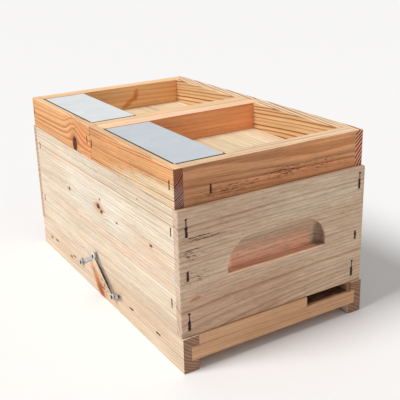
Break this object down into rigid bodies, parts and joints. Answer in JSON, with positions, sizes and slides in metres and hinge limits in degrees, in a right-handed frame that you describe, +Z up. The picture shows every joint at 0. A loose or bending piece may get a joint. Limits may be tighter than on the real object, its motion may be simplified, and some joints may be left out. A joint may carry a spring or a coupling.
{
  "type": "beehive",
  "caption": "Nucleus beehive: plank floor with an entrance at each end, frame box with hand recesses, lift-off top feeders with metal cover plates, and swinging floor clips.",
  "frame": {"origin": "on the ground, at the middle of the whole hive's box", "axes": "+Z up, -Y towards the front with the first entrance, +X to the right seen from the front"},
  "size_m": [0.309, 0.503, 0.269],
  "materials": {
    "floor_pine": "bare planed wood",
    "box_pine": "bare planed wood",
    "feeder_pine": "bare planed wood",
    "tank_floor_board": "bare board",
    "frame_wood": "bare planed wood",
    "wax": "soft beeswax",
    "zinc_sheet": "satin galvanised sheet",
    "staple_steel": "dull wire",
    "clip_steel": "bright zinc-plated strip"
  },
  "bodies": {
    "floor": {"floor_side_left": "floor_pine", "floor_side_right": "floor_pine", "floor_plank_1": "floor_pine", "floor_plank_2": "floor_pine", "floor_plank_3": "floor_pine", "floor_plank_4": "floor_pine", "front_entrance_bar": "floor_pine", "rear_entrance_bar": "floor_pine", "floor_divider": "floor_pine", "floor_staples": "staple_steel", "clip_floor_screws": "clip_steel", "clip_floor_spacers": "clip_steel"},
    "box": {"box_front": "box_pine", "box_rear": "box_pine", "box_side_left": "box_pine", "box_side_right": "box_pine", "partition": "box_pine", "divider_sheet": "zinc_sheet", "box_staples": "staple_steel", "clip_pivot_screws": "clip_steel", "clip_pivot_spacers": "clip_steel", "front_frame_top_bars": "frame_wood", "front_frame_side_bars": "frame_wood", "front_frame_bottom_bars": "frame_wood", "front_frame_wax_sheets": "wax", "rear_frame_top_bars": "frame_wood", "rear_frame_side_bars": "frame_wood", "rear_frame_bottom_bars": "frame_wood", "rear_frame_wax_sheets": "wax"},
    "front_feeder": {"front_feeder_left_board": "feeder_pine", "front_feeder_right_board": "feeder_pine", "front_feeder_front_board": "feeder_pine", "front_feeder_rear_board": "feeder_pine", "front_feeder_tank_floor": "tank_floor_board", "front_feeder_chimney_wall": "feeder_pine", "front_feeder_baffle_wall": "feeder_pine", "front_feeder_staples": "staple_steel"},
    "rear_feeder": {"rear_feeder_left_board": "feeder_pine", "rear_feeder_right_board": "feeder_pine", "rear_feeder_front_board": "feeder_pine", "rear_feeder_rear_board": "feeder_pine", "rear_feeder_tank_floor": "tank_floor_board", "rear_feeder_chimney_wall": "feeder_pine", "rear_feeder_baffle_wall": "feeder_pine", "rear_feeder_staples": "staple_steel"},
    "front_cover_plate": {"front_feeder_cover_plate": "zinc_sheet"},
    "rear_cover_plate": {"rear_feeder_cover_plate": "zinc_sheet"},
    "left_back_link": {"left_back_link": "clip_steel"},
    "left_front_link": {"left_front_link": "clip_steel"},
    "right_back_link": {"right_back_link": "clip_steel"},
    "right_front_link": {"right_front_link": "clip_steel"}
  },
  "joints": [
    {"name": "box_lift", "type": "slide", "parent": "floor", "child": "box", "axis": [0, 0, 1], "range_m": [0, 0.25]},
    {"name": "front_feeder_lift", "type": "slide", "parent": "box", "child": "front_feeder", "axis": [0, 0, 1], "range_m": [0, 0.15]},
    {"name": "front_plate_lift", "type": "slide", "parent": "front_feeder", "child": "front_cover_plate", "axis": [0, 0, 1], "range_m": [0, 0.08]},
    {"name": "rear_feeder_lift", "type": "slide", "parent": "box", "child": "rear_feeder", "axis": [0, 0, 1], "range_m": [0, 0.15]},
    {"name": "rear_plate_lift", "type": "slide", "parent": "rear_feeder", "child": "rear_cover_plate", "axis": [0, 0, 1], "range_m": [0, 0.08]},
    {"name": "left_back_link_swing", "type": "hinge", "parent": "box", "child": "left_back_link", "pos_m": [-0.1484, 0.009, 0.064], "axis": [1, 0, 0], "range_deg": [0, 115]},
    {"name": "left_front_link_swing", "type": "hinge", "parent": "box", "child": "left_front_link", "pos_m": [-0.1512, 0.009, 0.064], "axis": [-1, 0, 0], "range_deg": [0, 115]},
    {"name": "right_back_link_swing", "type": "hinge", "parent": "box", "child": "right_back_link", "pos_m": [0.1484, 0.009, 0.064], "axis": [1, 0, 0], "range_deg": [0, 115]},
    {"name": "right_front_link_swing", "type": "hinge", "parent": "box", "child": "right_front_link", "pos_m": [0.1512, 0.009, 0.064], "axis": [-1, 0, 0], "range_deg": [0, 115]}
  ]
}
